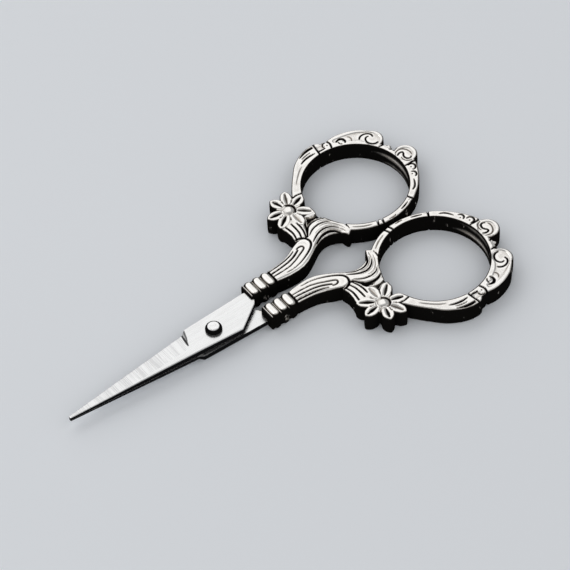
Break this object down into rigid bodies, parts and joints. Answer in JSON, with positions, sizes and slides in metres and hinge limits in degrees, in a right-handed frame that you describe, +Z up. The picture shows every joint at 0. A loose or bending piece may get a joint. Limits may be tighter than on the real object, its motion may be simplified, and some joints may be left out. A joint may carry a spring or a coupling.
{
  "type": "embroidery scissors",
  "caption": "Small embroidery scissors with slim pointed blades, a domed rivet and cast handles with banded collars, leaf sprays, flowers and scrolled finger rings.",
  "frame": {"origin": "bottom centre of the box round the closed scissors, lying flat", "axes": "+X from the tips to the finger rings, +Y to the handle of the upper blade, +Z up through the rivet's domed head"},
  "size_m": [0.0908, 0.0524, 0.0043],
  "materials": {
    "blade_steel": "ground and brushed stainless steel",
    "handle_casting": "polished antique silver plating, dark in the grooves",
    "rivet_steel": "polished steel"
  },
  "bodies": {
    "lower_half": {"lower_blade": "blade_steel", "lower_handle": "handle_casting", "pivot_rivet": "rivet_steel"},
    "upper_half": {"upper_blade": "blade_steel", "upper_handle": "handle_casting"}
  },
  "joints": [
    {"name": "blade_pivot", "type": "hinge", "parent": "lower_half", "child": "upper_half", "pos_m": [-0.01302, 0, 0.00205], "axis": [0, 0, 1], "range_deg": [0, 135]}
  ]
}
